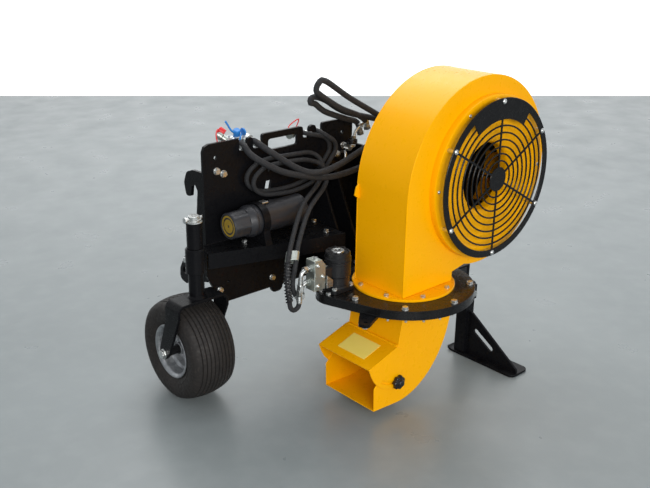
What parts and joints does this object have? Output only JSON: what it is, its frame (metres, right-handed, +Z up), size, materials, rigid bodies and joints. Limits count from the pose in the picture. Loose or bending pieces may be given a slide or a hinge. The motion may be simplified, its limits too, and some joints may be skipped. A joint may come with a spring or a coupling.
{
  "type": "hitch-mounted leaf blower attachment",
  "caption": "Hydraulic leaf blower attachment: scroll fan on a slewing discharge chute, carried by a hitch plate, a caster wheel and a parking leg.",
  "frame": {"origin": "on the floor, below the middle of the whole object's box at rest", "axes": "+X along the hitch plate, away from the caster; -Y towards the front, where the fan breathes in; +Z up"},
  "size_m": [1.1428, 0.7628, 0.9684],
  "materials": {
    "black_powder_coat": "satin black powder coat, fine orange peel",
    "orange_yellow_paint": "semi-gloss orange-yellow enamel on folded sheet",
    "black_motor_paint": "semi-gloss black motor enamel on cast iron",
    "zinc_plate": "bright zinc plate",
    "galvanised_rim": "silver-grey galvanised pressed wheel",
    "tyre_rubber": "dusty ribbed rubber",
    "hose_rubber": "cloth-wrapped hydraulic hose",
    "dark_plastic": "grained grey-black polyethylene",
    "knob_plastic": "glossy black moulded knob",
    "slide_plastic": "pale low-friction plastic",
    "gear_steel": "oiled machined steel"
  },
  "bodies": {
    "frame": {"hitch_plate": "black_powder_coat", "hook_plate_left": "black_powder_coat", "hook_plate_right": "black_powder_coat", "beam": "black_powder_coat", "kingpin_housing": "black_powder_coat", "cross_tube": "black_powder_coat", "side_arm": "black_powder_coat", "turret_arm": "black_powder_coat", "turret_rib_left": "black_powder_coat", "turret_rib_right": "black_powder_coat", "document_tube": "dark_plastic", "tube_saddle": "black_powder_coat", "turret_bottom_plate": "black_powder_coat", "turret_rim": "black_powder_coat", "turret_top_plate": "black_powder_coat", "slide_ring": "slide_plastic", "turret_lug": "black_powder_coat", "steering_motor": "black_motor_paint", "steering_motor_cover": "black_motor_paint", "valve_block": "zinc_plate", "valve_elbow_upper": "zinc_plate", "valve_elbow_lower": "zinc_plate", "volute_front": "orange_yellow_paint", "volute_back": "orange_yellow_paint", "volute_wrap": "orange_yellow_paint", "volute_flange": "orange_yellow_paint", "inlet_cone": "orange_yellow_paint", "inlet_guard": "black_powder_coat", "fan_motor_mount": "black_powder_coat", "fan_motor": "black_motor_paint", "hose_fan_pressure": "hose_rubber", "hose_fan_return": "hose_rubber", "hose_steer_left": "hose_rubber", "hose_steer_right": "hose_rubber", "hose_loop_upper": "hose_rubber", "hose_loop_lower": "hose_rubber", "coupler_left": "zinc_plate", "coupler_right": "zinc_plate", "leg_socket": "black_powder_coat"},
    "caster": {"kingpin": "zinc_plate", "caster_fork": "black_powder_coat", "lower_spacer": "black_powder_coat", "upper_spacer": "black_powder_coat", "wheel_axle": "zinc_plate"},
    "lynch_pin": {"lynch_pin": "zinc_plate"},
    "wheel": {"tyre": "tyre_rubber", "wheel_rim": "galvanised_rim"},
    "chute": {"chute_flange": "orange_yellow_paint", "ring_gear": "gear_steel", "chute_duct": "orange_yellow_paint"},
    "hood": {"hood": "orange_yellow_paint"},
    "hood_knob": {"hood_knob": "knob_plastic"},
    "pinion": {"drive_pinion": "gear_steel"},
    "fan_rotor": {"impeller": "black_powder_coat", "fan_shaft": "gear_steel"},
    "leg": {"leg_post": "black_powder_coat", "leg_foot": "black_powder_coat", "leg_gusset": "black_powder_coat"},
    "leg_clamp": {"leg_clamp_bolt": "zinc_plate"},
    "document_cap": {"document_cap": "dark_plastic"}
  },
  "joints": [
    {"name": "caster_swivel", "type": "hinge", "parent": "frame", "child": "caster", "pos_m": [-0.47037, 0.16658, 0.45], "axis": [0, 0, 1], "range_deg": [-5, 190]},
    {"name": "lynch_pin_pull", "type": "slide", "parent": "caster", "child": "lynch_pin", "axis": [-1, 0, 0], "range_m": [0, 0.07]},
    {"name": "wheel_spin", "type": "hinge", "parent": "caster", "child": "wheel", "pos_m": [-0.47037, 0.22258, 0.16], "axis": [1, 0, 0], "continuous": true},
    {"name": "chute_slew", "type": "hinge", "parent": "frame", "child": "chute", "pos_m": [0.05763, -0.16542, 0.32], "axis": [0, 0, 1], "range_deg": [-15, 195]},
    {"name": "pinion_spin", "type": "hinge", "parent": "frame", "child": "pinion", "pos_m": [-0.13223, -0.07568, 0.338], "axis": [0, 0, 1], "range_deg": [-990, 90]},
    {"name": "hood_tilt", "type": "hinge", "parent": "chute", "child": "hood", "pos_m": [-0.06737, -0.16542, 0.2115], "axis": [0, 1, 0], "range_deg": [-28, 0]},
    {"name": "knob_turn", "type": "hinge", "parent": "chute", "child": "hood_knob", "pos_m": [-0.06937, -0.27842, 0.101], "axis": [0, 1, 0], "continuous": true},
    {"name": "fan_spin", "type": "hinge", "parent": "frame", "child": "fan_rotor", "pos_m": [0.28863, -0.12342, 0.665], "axis": [0, 1, 0], "continuous": true},
    {"name": "leg_slide", "type": "slide", "parent": "frame", "child": "leg", "axis": [0, 0, 1], "range_m": [0, 0.04]},
    {"name": "leg_clamp_turn", "type": "hinge", "parent": "frame", "child": "leg_clamp", "pos_m": [0.38563, -0.15342, 0.225], "axis": [0, 1, 0], "continuous": true},
    {"name": "document_cap_turn", "type": "hinge", "parent": "frame", "child": "document_cap", "pos_m": [-0.34037, 0.15158, 0.54], "axis": [1, 0, 0], "continuous": true}
  ],
  "couplings": [
    {"joint": "pinion_spin", "follows": "chute_slew", "ratio": -5}
  ]
}
